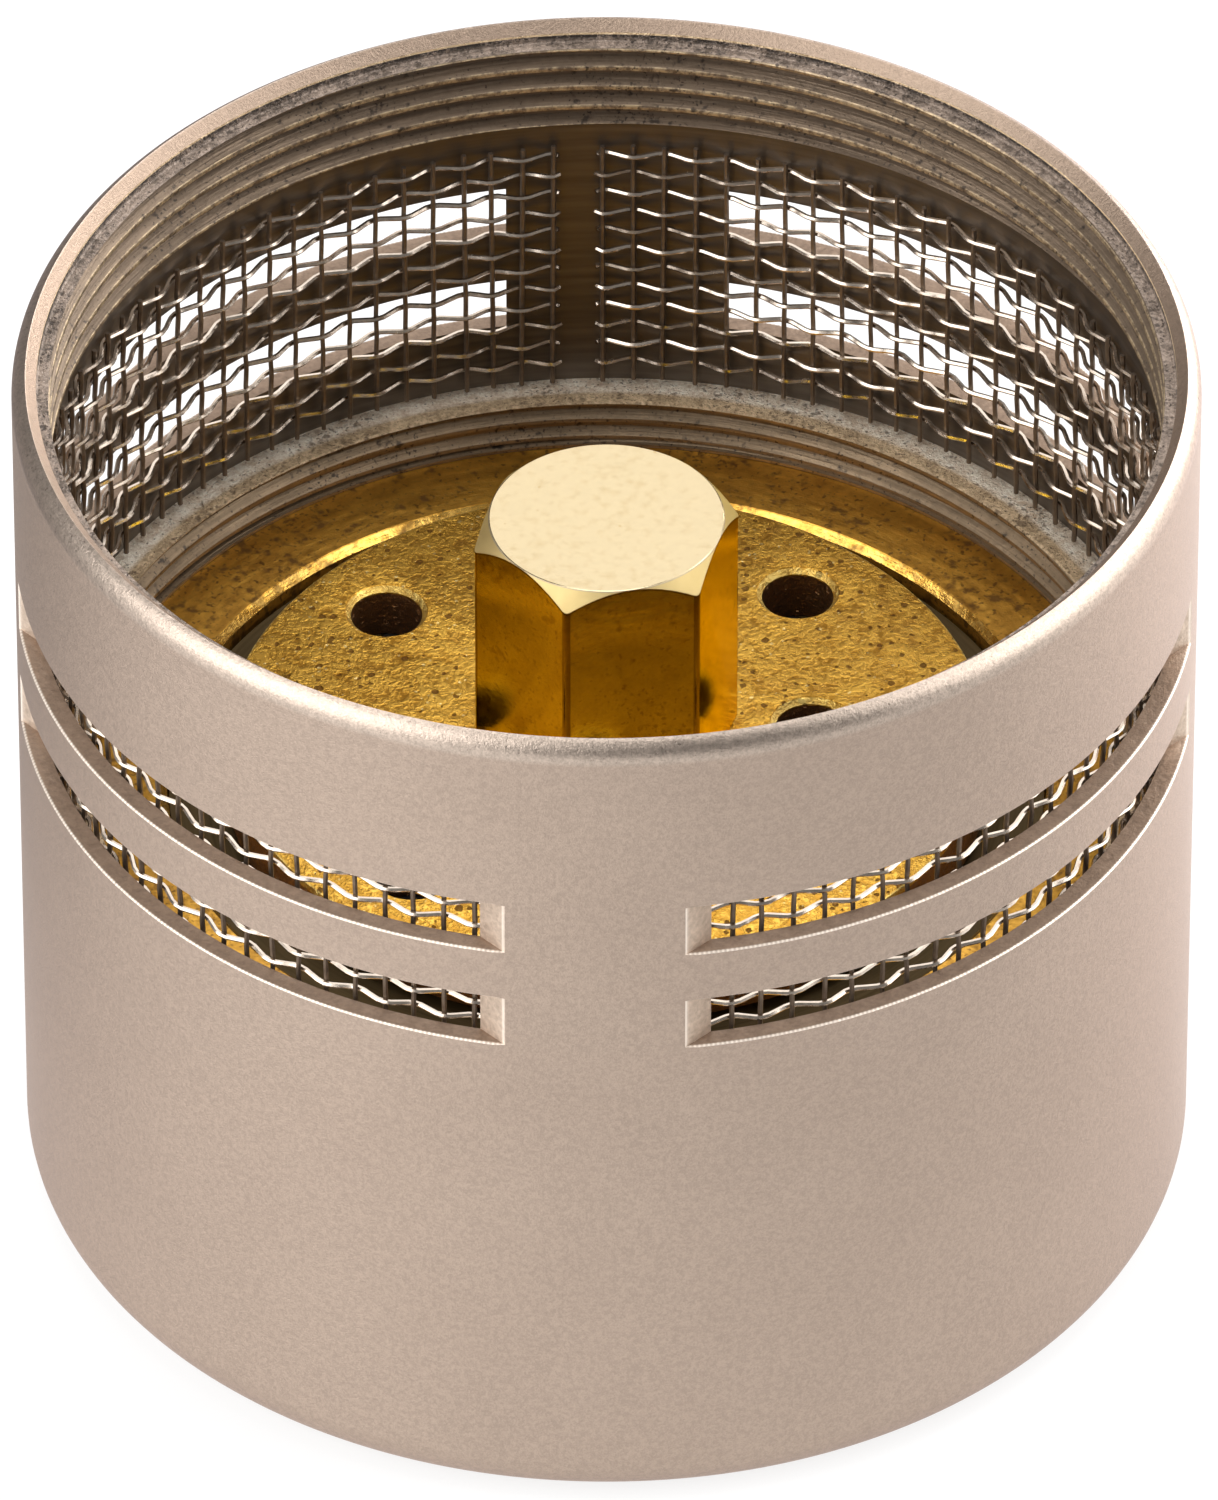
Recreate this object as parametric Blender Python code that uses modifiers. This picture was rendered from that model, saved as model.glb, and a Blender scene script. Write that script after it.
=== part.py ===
"""Small-diaphragm condenser microphone capsule, standing on its front face with the rear socket up.

Metres. +Z runs from the front (sound) face to the rear (threaded) end, and the origin is the centre
of the front face. A satin nickel housing holds a screw-in brass cartridge and its wire screens.
"""
import math

import bmesh
import bpy

MM = 0.001

# ---------------------------------------------------------------- clearances
SEAT_GAP = 0.03 * MM            # between faces that seat on each other
FIT_GAP = 0.05 * MM             # radial, between turned pieces that fit in each other

# ---------------------------------------------------------------- housing
REAR_THREAD_DIAMETER = 23.0 * MM
REAR_THREAD_PITCH = 0.5 * MM
REAR_THREAD_LENGTH = 2.4 * MM   # from the screen pocket to the rim, lead-in included
REAR_WALL = 0.5 * MM            # metal outside the root of the thread
SLOT_WALL = 0.4 * MM            # metal outside the screen pocket, where the slots are cut
REAR_EDGE_RADIUS = 0.5 * MM
RIM_SETBACK = 0.28 * MM         # how far in the rim's sharp edge lies
FRONT_EDGE_RADIUS = 1.0 * MM
LIP_THICKNESS = 1.2 * MM
LIP_DEPTH = 1.05 * MM           # how far the front lip reaches in past the cartridge bore
LIP_EDGE_RADIUS = 0.4 * MM
LEDGE_WIDTH = 0.85 * MM         # step that the side screen stands on
POCKET_HEIGHT = 6.95 * MM
CARTRIDGE_SETBACK = 1.1 * MM    # from the cartridge's rear face up to the ledge

# ---------------------------------------------------------------- sound slots
SLOT_ROWS = 2
SLOTS_PER_ROW = 4
SLOT_HEIGHT = 1.2 * MM
SLOT_PITCH = 2.4 * MM
SLOT_DEPTH = 2.34 * MM          # of the straight saw cut, from the outside diameter
SLOT_SHIFT = -0.145 * MM        # of the rows' middle from the pocket's middle

# ---------------------------------------------------------------- screens
WIRE = 0.24 * MM                # bar of the open screens
SIDE_SCREEN_HEADROOM = 0.57 * MM    # from the strip's upper edge to the top of the pocket
SIDE_SCREEN_GAP_ANGLE = math.radians(3.2)
SIDE_SCREEN_GAP_AT = math.radians(94.0)
SIDE_SCREEN_COLUMNS = 34
SIDE_SCREEN_ROWS = 5
FRONT_SCREEN_CELL = 2.1 * MM
DUST_SCREEN_THICKNESS = 0.1 * MM
SCREEN_RING_HEIGHT = 1.2 * MM
SCREEN_RING_WIDTH = 1.0 * MM

# ---------------------------------------------------------------- cartridge
BODY_HEIGHT = 6.49 * MM
BODY_FACE_WIDTH = 1.7 * MM      # rear annulus, bevel included
BODY_FACE_BEVEL = 0.3 * MM
BODY_FRONT_WALL = 1.05 * MM
BODY_FLANGE_THICKNESS = 0.6 * MM
BODY_FLANGE_REACH = 0.6 * MM
BODY_REAR_DEPTH = 1.2 * MM      # from the rear face down to the flange
CLAMP_COLLAR_HEIGHT = 1.2 * MM
TENSION_RING_HEIGHT = 1.0 * MM
RING_WIDTH = 1.3 * MM
FILM_THICKNESS = 0.05 * MM
SPACER_THICKNESS = 0.05 * MM
PLATE_INSULATOR_WALL = 1.35 * MM
PLATE_INSULATOR_LIP = 0.3 * MM
PLATE_INSULATOR_LIP_REACH = 0.65 * MM
BACKPLATE_TAIL = 0.5 * MM       # how far the plate stands out behind its insulator
BACKPLATE_HOLES = 12
BACKPLATE_HOLE_RADIUS = 0.4 * MM
BACKPLATE_HOLE_SETBACK = 2.15 * MM  # of the holes' middles from the edge of the plate's tail

# ---------------------------------------------------------------- rear disc and contact
MOAT_WIDTH = 1.21 * MM          # bare insulator between the rear disc and the body
MOAT_DEPTH = 0.45 * MM          # below the body's rear face
REAR_DISC_THICKNESS = 1.2 * MM
REAR_DISC_RISE = 1.05 * MM      # of the disc's face above the body's rear face
REAR_DISC_EDGE = 0.1 * MM
REAR_INSULATOR_SEAT = 1.2 * MM  # width of the ring that the disc stands on
DAMPING_DISC_THICKNESS = 0.1 * MM
DISC_HOLES_PER_RING = 4
DISC_HOLE_RADIUS = 0.74 * MM
DISC_HOLE_SINK = 0.12 * MM
OUTER_HOLE_SETBACK = 1.79 * MM  # of the outer holes' middles from the disc's edge
HOLE_RING_STEP = 1.8 * MM       # from the outer ring of holes in to the inner one
INNER_HOLE_ANGLE = math.radians(5.1)
POST_FLATS = 4.7 * MM
POST_HEIGHT = 5.57 * MM
POST_CORNER_CHAMFER = 0.42 * MM
POST_TOP_RADIUS = 2.38 * MM
POST_ANGLE = math.radians(-15.4)
STUD_RADIUS = 1.0 * MM
STUD_IN_PLATE = 1.55 * MM
STUD_IN_POST = 3.0 * MM
STUD_HOLE_SPARE = 0.15 * MM
BUSH_WALL = 0.95 * MM

# ---------------------------------------------------------------- facets of round shapes
HOUSING_FACETS = 64
CARTRIDGE_FACETS = 40
SMALL_FACETS = 16
PLATE_HOLE_FACETS = 10

# ---------------------------------------------------------------- radii, worked inwards
thread_root = REAR_THREAD_DIAMETER / 2
thread_crest = thread_root - 0.54 * REAR_THREAD_PITCH
housing_radius = thread_root + REAR_WALL
pocket_radius = housing_radius - SLOT_WALL
cartridge_bore = pocket_radius - LEDGE_WIDTH
lip_radius = cartridge_bore - LIP_DEPTH
rim_radius = housing_radius - RIM_SETBACK
screen_radius = cartridge_bore - FIT_GAP
body_radius = cartridge_bore - FIT_GAP
body_opening = body_radius - BODY_FACE_WIDTH
body_recess = body_radius - BODY_FRONT_WALL
flange_radius = body_opening - BODY_FLANGE_REACH
ring_radius = body_recess - FIT_GAP
ring_bore = ring_radius - RING_WIDTH
plate_seat_radius = ring_radius - PLATE_INSULATOR_WALL
plate_tail_radius = plate_seat_radius - PLATE_INSULATOR_LIP_REACH - FIT_GAP
plate_hole_ring = plate_tail_radius - BACKPLATE_HOLE_SETBACK
rear_disc_radius = body_opening - MOAT_WIDTH
outer_hole_ring = rear_disc_radius - OUTER_HOLE_SETBACK
inner_hole_ring = outer_hole_ring - HOLE_RING_STEP
moat_radius = body_opening - FIT_GAP
insulator_bore = rear_disc_radius - REAR_INSULATOR_SEAT
stud_hole = STUD_RADIUS + FIT_GAP

# ---------------------------------------------------------------- levels, worked up from the front
front_screen_low = LIP_THICKNESS + SEAT_GAP
dust_screen_low = front_screen_low + WIRE + SEAT_GAP
screen_ring_low = dust_screen_low + DUST_SCREEN_THICKNESS + SEAT_GAP
body_low = screen_ring_low + SCREEN_RING_HEIGHT + SEAT_GAP
body_top = body_low + BODY_HEIGHT
ledge = body_top + CARTRIDGE_SETBACK
pocket_top = ledge + POCKET_HEIGHT
housing_top = pocket_top + REAR_THREAD_LENGTH
flange_top = body_top - BODY_REAR_DEPTH
flange_low = flange_top - BODY_FLANGE_THICKNESS
tension_ring_low = body_low + CLAMP_COLLAR_HEIGHT + SEAT_GAP
film_low = tension_ring_low + TENSION_RING_HEIGHT + SEAT_GAP
spacer_low = film_low + FILM_THICKNESS + SEAT_GAP
plate_low = spacer_low + SPACER_THICKNESS + SEAT_GAP
plate_insulator_top = flange_low - SEAT_GAP
plate_top = plate_insulator_top + BACKPLATE_TAIL
disc_top = body_top + REAR_DISC_RISE
disc_low = disc_top - REAR_DISC_THICKNESS
post_low = disc_top + SEAT_GAP
post_top = post_low + POST_HEIGHT


def collection(name):
    group = bpy.data.collections.new(name)
    bpy.context.scene.collection.children.link(group)
    return group


def clear_scene():
    for item in list(bpy.data.objects):
        bpy.data.objects.remove(item, do_unlink=True)


def material(name, colour, roughness, metallic):
    made = bpy.data.materials.new(name)
    made.use_nodes = True
    shader = made.node_tree.nodes["Principled BSDF"]
    shader.inputs["Base Color"].default_value = (*colour, 1.0)
    shader.inputs["Roughness"].default_value = roughness
    shader.inputs["Metallic"].default_value = metallic
    return made


def dress(item, colour, roughness, metallic):
    item.data.materials.clear()
    item.data.materials.append(material(item.name, colour, roughness, metallic))


def arc(centre_r, centre_z, radius, start, end, steps):
    """Points of an arc in the turning plane, angles in degrees from the outward radius."""
    points = []
    for step in range(steps + 1):
        angle = math.radians(start + (end - start) * step / steps)
        points.append((centre_r + radius * math.cos(angle), centre_z + radius * math.sin(angle)))
    return points


def link(item, group):
    group.objects.link(item)
    return item


def turned(name, group, profile, facets, closed):
    """A profile of (radius, height) points turned about Z: down the outside, up the inside."""
    mesh = bpy.data.meshes.new(name)
    count = len(profile)
    edges = [(index, index + 1) for index in range(count - 1)]
    if closed:
        edges.append((count - 1, 0))
    mesh.from_pydata([(radius, 0.0, height) for radius, height in profile], edges, [])
    item = link(bpy.data.objects.new(name, mesh), group)
    screw = item.modifiers.new("Turned", "SCREW")
    screw.axis = "Z"
    screw.angle = math.tau
    screw.steps = facets
    screw.render_steps = facets
    screw.use_merge_vertices = True
    screw.merge_threshold = 0.0000005
    return item


def ring(name, inner, outer, low, high, facets=CARTRIDGE_FACETS):
    profile = [(outer, high), (outer, low), (inner, low), (inner, high)]
    return turned(name, parts, profile, facets, True)


def disc(name, radius, low, high, facets=CARTRIDGE_FACETS):
    profile = [(0.0, high), (radius, high), (radius, low), (0.0, low)]
    return turned(name, parts, profile, facets, False)


def hide_cutter(item):
    item.hide_render = True
    item.display_type = "WIRE"
    return item


def apply_boolean(item, cutter, operation="DIFFERENCE"):
    boolean = item.modifiers.new(cutter.name, "BOOLEAN")
    boolean.operation = operation
    boolean.solver = "EXACT"
    boolean.object = cutter
    return item


def drill(item, name, radius, low, high, x=0.0, y=0.0, facets=SMALL_FACETS):
    """A round hole along Z."""
    profile = [(0.0, high), (radius, high), (radius, low), (0.0, low)]
    cutter = hide_cutter(turned(name, cutters, profile, facets, False))
    cutter.location = (x, y, 0.0)
    return apply_boolean(item, cutter)


def settle(item):
    """Keeps the evaluated mesh, with round walls smooth and their corners sharp."""
    graph = bpy.context.evaluated_depsgraph_get()
    mesh = bpy.data.meshes.new_from_object(item.evaluated_get(graph))
    item.modifiers.clear()
    item.data = mesh
    mesh.name = item.name
    mesh.shade_smooth()
    mesh.set_sharp_from_angle(angle=math.radians(30))
    return item


# ---------------------------------------------------------------- housing
def make_housing():
    rim_angle = math.degrees(math.acos(1 - RIM_SETBACK / REAR_EDGE_RADIUS))
    rear_centre = housing_top - REAR_EDGE_RADIUS * math.sin(math.radians(rim_angle))
    profile = arc(housing_radius - REAR_EDGE_RADIUS, rear_centre, REAR_EDGE_RADIUS, rim_angle, 0, 3)
    profile += arc(housing_radius - FRONT_EDGE_RADIUS, FRONT_EDGE_RADIUS, FRONT_EDGE_RADIUS, 0, -90, 5)
    profile += arc(lip_radius + LIP_EDGE_RADIUS, LIP_EDGE_RADIUS, LIP_EDGE_RADIUS, -90, -180, 3)
    profile += [
        (lip_radius, LIP_THICKNESS),
        (cartridge_bore, LIP_THICKNESS),
        (cartridge_bore, ledge),
        (pocket_radius, ledge),
        (pocket_radius, pocket_top),
        (thread_crest, pocket_top),
        (thread_crest, housing_top - (rim_radius - thread_crest)),
    ]
    housing = turned("housing", parts, profile, HOUSING_FACETS, True)
    middle = (ledge + pocket_top) / 2 + SLOT_SHIFT
    reach = 2 * housing_radius
    for row in range(SLOT_ROWS):
        height = middle + (row - (SLOT_ROWS - 1) / 2) * SLOT_PITCH
        for turn in range(SLOTS_PER_ROW):
            angle = math.tau * (turn + 0.5) / SLOTS_PER_ROW
            distance = housing_radius - SLOT_DEPTH + reach / 2
            bpy.ops.mesh.primitive_cube_add(size=1.0)
            cutter = bpy.context.object
            cutter.name = f"slot_{row + 1}_{turn + 1}_cutter"
            cutter.scale = (reach, reach, SLOT_HEIGHT)
            cutter.rotation_euler = (0.0, 0.0, angle)
            cutter.location = (distance * math.cos(angle), distance * math.sin(angle), height)
            bpy.context.collection.objects.unlink(cutter)
            apply_boolean(housing, hide_cutter(link(cutter, cutters)))
    return housing


# ---------------------------------------------------------------- screens
def open_screen(item):
    """Turns the faces of a grid into an open screen of square bars."""
    bars = item.modifiers.new("Bars", "WIREFRAME")
    bars.thickness = WIRE
    bars.offset = 0.0
    bars.use_boundary = True
    bars.use_even_offset = True
    bars.use_relative_offset = False
    bars.use_replace = True
    return item


def make_side_screen():
    """A strip bent round inside the pocket; its two ends leave a narrow gap."""
    cells = bmesh.new()
    bmesh.ops.create_grid(cells, x_segments=SIDE_SCREEN_COLUMNS, y_segments=SIDE_SCREEN_ROWS, size=0.5)
    radius = pocket_radius - FIT_GAP - WIRE / 2
    low = ledge + SEAT_GAP + WIRE / 2
    height = pocket_top - SIDE_SCREEN_HEADROOM - WIRE / 2 - low
    sweep = math.tau - SIDE_SCREEN_GAP_ANGLE - WIRE / radius
    start = SIDE_SCREEN_GAP_AT + (math.tau - sweep) / 2
    for corner in cells.verts:
        angle = start + (corner.co.x + 0.5) * sweep
        corner.co.z = low + (corner.co.y + 0.5) * height
        corner.co.x = radius * math.cos(angle)
        corner.co.y = radius * math.sin(angle)
    mesh = bpy.data.meshes.new("side_screen")
    cells.to_mesh(mesh)
    cells.free()
    return open_screen(link(bpy.data.objects.new("side_screen", mesh), parts))


def make_front_screen():
    """A flat disc of the same screen, cut round."""
    half = math.ceil(screen_radius / FRONT_SCREEN_CELL) + 0.5
    cells = bmesh.new()
    bmesh.ops.create_grid(cells, x_segments=int(2 * half), y_segments=int(2 * half),
                          size=half * FRONT_SCREEN_CELL)
    mesh = bpy.data.meshes.new("front_screen")
    cells.to_mesh(mesh)
    cells.free()
    screen = open_screen(link(bpy.data.objects.new("front_screen", mesh), parts))
    screen.location.z = front_screen_low + WIRE / 2
    rim = [(0.0, WIRE * 2), (screen_radius, WIRE * 2), (screen_radius, -WIRE), (0.0, -WIRE)]
    cutter = hide_cutter(turned("front_screen_outline", cutters, rim, CARTRIDGE_FACETS, False))
    cutter.location.z = front_screen_low
    return apply_boolean(screen, cutter, "INTERSECT")


# ---------------------------------------------------------------- cartridge
def make_capsule_body():
    profile = [
        (body_radius, body_top),
        (body_radius, body_low),
        (body_recess, body_low),
        (body_recess, flange_low),
        (flange_radius, flange_low),
        (flange_radius, flange_top),
        (body_opening, flange_top),
        (body_opening, body_top - BODY_FACE_BEVEL),
        (body_opening + BODY_FACE_BEVEL, body_top),
    ]
    return turned("capsule_body", parts, profile, HOUSING_FACETS, True)


def make_backplate_insulator():
    lip_low = plate_insulator_top - PLATE_INSULATOR_LIP
    profile = [
        (ring_radius, plate_insulator_top),
        (ring_radius, plate_low),
        (plate_seat_radius, plate_low),
        (plate_seat_radius, lip_low),
        (plate_seat_radius - PLATE_INSULATOR_LIP_REACH, lip_low),
        (plate_seat_radius - PLATE_INSULATOR_LIP_REACH, plate_insulator_top),
    ]
    return turned("backplate_insulator", parts, profile, CARTRIDGE_FACETS, True)


def make_backplate():
    shoulder = plate_insulator_top - PLATE_INSULATOR_LIP - SEAT_GAP
    stud_floor = plate_top - STUD_IN_PLATE - STUD_HOLE_SPARE
    profile = [
        (0.0, stud_floor),
        (stud_hole, stud_floor),
        (stud_hole, plate_top),
        (plate_tail_radius, plate_top),
        (plate_tail_radius, shoulder),
        (plate_seat_radius - FIT_GAP, shoulder),
        (plate_seat_radius - FIT_GAP, plate_low),
        (0.0, plate_low),
    ]
    plate = turned("backplate", parts, profile, CARTRIDGE_FACETS, False)
    for index in range(BACKPLATE_HOLES):
        angle = math.tau * (index + 0.3) / BACKPLATE_HOLES
        drill(plate, f"plate_hole_{index + 1}", BACKPLATE_HOLE_RADIUS, plate_low - WIRE, plate_top + WIRE,
              plate_hole_ring * math.cos(angle), plate_hole_ring * math.sin(angle),
              PLATE_HOLE_FACETS)
    return plate


def make_rear_insulator():
    seat = disc_low - SEAT_GAP
    moat = body_top - MOAT_DEPTH
    low = flange_top + SEAT_GAP
    profile = [
        (rear_disc_radius - MOAT_DEPTH, seat),
        (rear_disc_radius - MOAT_DEPTH, moat),
        (moat_radius, moat),
        (moat_radius, low),
        (insulator_bore, low),
        (insulator_bore, seat),
    ]
    return turned("rear_insulator", parts, profile, CARTRIDGE_FACETS, True)


def make_damping_disc():
    high = disc_low - SEAT_GAP
    return ring("damping_disc", STUD_RADIUS + BUSH_WALL + 2 * FIT_GAP, insulator_bore - FIT_GAP,
                high - DAMPING_DISC_THICKNESS, high)


# ---------------------------------------------------------------- rear disc, stud and contact post
def make_rear_disc():
    profile = [
        (rear_disc_radius - REAR_DISC_EDGE, disc_top),
        (rear_disc_radius, disc_top - REAR_DISC_EDGE),
        (rear_disc_radius, disc_low),
        (stud_hole, disc_low),
        (stud_hole, disc_top),
    ]
    plate = turned("rear_disc", parts, profile, HOUSING_FACETS, True)
    for index in range(2 * DISC_HOLES_PER_RING):
        circle = (inner_hole_ring, outer_hole_ring)[index % 2]
        angle = INNER_HOLE_ANGLE + math.pi * index / DISC_HOLES_PER_RING
        sink = [
            (0.0, disc_top + DISC_HOLE_SINK),
            (DISC_HOLE_RADIUS + 2 * DISC_HOLE_SINK, disc_top + DISC_HOLE_SINK),
            (DISC_HOLE_RADIUS, disc_top - DISC_HOLE_SINK),
            (DISC_HOLE_RADIUS, disc_low - DISC_HOLE_SINK),
            (0.0, disc_low - DISC_HOLE_SINK),
        ]
        cutter = hide_cutter(turned(f"disc_hole_{index + 1}", cutters, sink, SMALL_FACETS, False))
        cutter.location = (circle * math.cos(angle), circle * math.sin(angle), 0.0)
        apply_boolean(plate, cutter)
    return plate


def make_contact_post():
    """A hexagon bar, its corners turned off to a cone at the top, drilled from below for the stud."""
    corner = POST_FLATS / math.sqrt(3)
    bpy.ops.mesh.primitive_cylinder_add(vertices=6, radius=corner, depth=POST_HEIGHT)
    post = bpy.context.object
    post.name = "contact_post"
    post.location.z = (post_low + post_top) / 2
    post.rotation_euler.z = POST_ANGLE
    bpy.context.collection.objects.unlink(post)
    link(post, parts)
    slope = (corner - POST_TOP_RADIUS) / POST_CORNER_CHAMFER
    cone_foot = POST_TOP_RADIUS + 2 * POST_CORNER_CHAMFER * slope
    chamfer = [
        (0.0, post_top),
        (POST_TOP_RADIUS, post_top),
        (cone_foot, post_top - 2 * POST_CORNER_CHAMFER),
        (cone_foot, post_low - POST_CORNER_CHAMFER),
        (0.0, post_low - POST_CORNER_CHAMFER),
    ]
    cone = hide_cutter(turned("post_chamfer", cutters, chamfer, CARTRIDGE_FACETS, False))
    apply_boolean(post, cone, "INTERSECT")
    return drill(post, "post_stud_hole", stud_hole, post_low - WIRE, post_low + STUD_IN_POST + STUD_HOLE_SPARE)


clear_scene()
parts = collection("microphone_capsule")
cutters = collection("cutters")

made = {
    "housing": make_housing(),
    "side_screen": make_side_screen(),
    "front_screen": make_front_screen(),
    "dust_screen": disc("dust_screen", screen_radius, dust_screen_low,
                        dust_screen_low + DUST_SCREEN_THICKNESS),
    "screen_ring": ring("screen_ring", screen_radius - SCREEN_RING_WIDTH, screen_radius,
                        screen_ring_low, screen_ring_low + SCREEN_RING_HEIGHT),
    "capsule_body": make_capsule_body(),
    "clamp_collar": ring("clamp_collar", ring_bore, ring_radius, body_low,
                         body_low + CLAMP_COLLAR_HEIGHT),
    "tension_ring": ring("tension_ring", ring_bore, ring_radius, tension_ring_low,
                         tension_ring_low + TENSION_RING_HEIGHT),
    "diaphragm": disc("diaphragm", ring_radius, film_low, film_low + FILM_THICKNESS),
    "spacer_ring": ring("spacer_ring", ring_bore, ring_radius, spacer_low,
                        spacer_low + SPACER_THICKNESS),
    "backplate_insulator": make_backplate_insulator(),
    "backplate": make_backplate(),
    "rear_insulator": make_rear_insulator(),
    "damping_disc": make_damping_disc(),
    "spacer_bush": ring("spacer_bush", stud_hole, STUD_RADIUS + BUSH_WALL, plate_top + SEAT_GAP,
                        disc_low - SEAT_GAP, 24),
    "centre_stud": disc("centre_stud", STUD_RADIUS, plate_top - STUD_IN_PLATE,
                        post_low + STUD_IN_POST, 24),
    "rear_disc": make_rear_disc(),
    "contact_post": make_contact_post(),
}

NICKEL = ((0.56, 0.50, 0.45), 0.38, 1.0)
STEEL = ((0.50, 0.45, 0.40), 0.30, 1.0)
BRASS = ((0.72, 0.50, 0.17), 0.35, 1.0)
BRIGHT_BRASS = ((0.85, 0.62, 0.20), 0.12, 1.0)
BLACK_PLASTIC = ((0.03, 0.025, 0.022), 0.50, 0.0)
WHITE_PLASTIC = ((0.80, 0.79, 0.75), 0.45, 0.0)
GOLD_FILM = ((0.95, 0.72, 0.30), 0.15, 1.0)
CLOTH = ((0.10, 0.10, 0.10), 0.90, 0.0)
finishes = {
    "housing": NICKEL, "side_screen": STEEL, "front_screen": STEEL, "dust_screen": CLOTH,
    "screen_ring": NICKEL, "capsule_body": BRASS, "clamp_collar": BRASS, "tension_ring": BRASS,
    "diaphragm": GOLD_FILM, "spacer_ring": WHITE_PLASTIC, "backplate_insulator": WHITE_PLASTIC,
    "backplate": BRASS, "rear_insulator": BLACK_PLASTIC, "damping_disc": CLOTH,
    "spacer_bush": BRASS, "centre_stud": BRASS, "rear_disc": BRASS, "contact_post": BRIGHT_BRASS,
}
for name, item in made.items():
    dress(settle(item), *finishes[name])
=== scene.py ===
"""Looks of a small-diaphragm condenser microphone capsule, seen on its rear, threaded side.

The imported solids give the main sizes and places. The pieces that show are modelled again in
finer detail: housing with both threads and saw-cut slots, woven screens, brass cartridge, moat,
rear disc and hexagonal contact post. The pieces sealed inside keep their solids.
"""

import math
import random

import bmesh
import bpy
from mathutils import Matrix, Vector


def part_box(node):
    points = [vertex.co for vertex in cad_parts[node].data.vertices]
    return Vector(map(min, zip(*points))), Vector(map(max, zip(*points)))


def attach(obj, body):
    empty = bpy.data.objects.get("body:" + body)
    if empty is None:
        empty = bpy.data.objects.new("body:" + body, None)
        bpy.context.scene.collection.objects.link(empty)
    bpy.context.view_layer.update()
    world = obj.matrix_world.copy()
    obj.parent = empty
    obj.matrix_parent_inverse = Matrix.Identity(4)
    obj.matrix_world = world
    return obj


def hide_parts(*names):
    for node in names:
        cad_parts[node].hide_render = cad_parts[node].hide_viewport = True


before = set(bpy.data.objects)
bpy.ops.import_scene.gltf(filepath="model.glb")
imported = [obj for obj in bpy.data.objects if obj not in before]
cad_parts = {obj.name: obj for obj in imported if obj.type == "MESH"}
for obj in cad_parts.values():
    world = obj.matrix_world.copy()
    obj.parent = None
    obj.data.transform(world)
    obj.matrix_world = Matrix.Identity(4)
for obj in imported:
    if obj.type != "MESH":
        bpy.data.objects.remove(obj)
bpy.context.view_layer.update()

MM = 0.001
WELD = 0.0005 * MM  # corners closer than this are one
NEAR = 0.01 * MM  # what is closer than this to a surface lies on it
TURN_STEPS = 256
HOLE_STEPS = 48
random.seed(23)

# -------- places read from the solids
housing_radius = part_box("housing")[1].x
housing_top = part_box("housing")[1].z
screen_low, screen_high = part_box("side_screen")
front_screen_low, front_screen_high = (corner.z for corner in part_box("front_screen"))
body_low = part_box("capsule_body")[0].z
body_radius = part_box("capsule_body")[1].x
body_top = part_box("capsule_body")[1].z
insulator_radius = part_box("rear_insulator")[1].x
insulator_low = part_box("rear_insulator")[0].z
insulator_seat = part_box("rear_insulator")[1].z
disc_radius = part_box("rear_disc")[1].x
disc_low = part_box("rear_disc")[0].z
disc_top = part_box("rear_disc")[1].z
post_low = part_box("contact_post")[0].z
post_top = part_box("contact_post")[1].z

# -------- housing
RIM_SETBACK = 0.28 * MM
REAR_EDGE_RADIUS = 0.5 * MM
FRONT_EDGE_RADIUS = 1.0 * MM
LIP_RADIUS = 9.7 * MM
LIP_EDGE_RADIUS = 0.4 * MM
HOLDING_ROW = 0.06 * MM  # narrow row that keeps the wall's shading flat by a round edge
SEAT_GAP = 0.03 * MM
FIT_GAP = 0.05 * MM
EDGE_BREAK = 0.03 * MM
REAR_THREAD_ROOT = 11.49 * MM
REAR_THREAD_CREST = 11.23 * MM
REAR_THREAD_LENGTH = 2.4 * MM
RELIEF_RADIUS = 11.5 * MM  # short plain bore between the rim's lead-in and the thread
RELIEF_FLOOR = 0.45 * MM  # below the rim
BODY_THREAD_ROOT = 10.94 * MM
BODY_THREAD_LOW = 9.46 * MM
STOP_RING_REACH = 0.09 * MM  # thin plain ring that the cartridge's face lies against
STOP_RING_HEIGHT = 0.07 * MM
STOP_RING_GAP = 0.01 * MM
# pitch, and height of one crest's upper edge at +X
REAR_THREAD = (0.5 * MM, 18.245 * MM)
BODY_THREAD = (0.45 * MM, 9.9 * MM)
# one turn of a thread's outline: share of the pitch, share of the depth
THREAD_OUTLINE = ((0.0, 0.0), (0.04, 0.03), (0.34, 0.96), (0.44, 1.0), (0.54, 0.96), (0.84, 0.03))
POINTS_PER_TURN = len(THREAD_OUTLINE)

SLOT_LEVELS = (12.58 * MM, 14.98 * MM)
SLOT_HEIGHT = 1.2 * MM
SLOT_PLANE = 9.66 * MM  # distance of the slots' flat floor from the axis
SLOTS_PER_ROW = 4
SLOT_EDGE = 0.03 * MM
# bright glints painted along the slots' outer edges: painted highlight of the saw's burrs
BURR_GLINTS_PER_TURN = 800.0  # marks in one turn of the wall

ledge = screen_low.z - SEAT_GAP
pocket_radius = screen_high.x + FIT_GAP
pocket_top = housing_top - REAR_THREAD_LENGTH
bore_radius = body_radius + FIT_GAP
lip_top = front_screen_low - SEAT_GAP
stop_ring = body_top + STOP_RING_GAP
rim_radius = housing_radius - RIM_SETBACK
relief_floor = housing_top - RELIEF_FLOOR
relief_top = housing_top - (rim_radius - RELIEF_RADIUS)
thread_high = relief_floor - EDGE_BREAK

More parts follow.
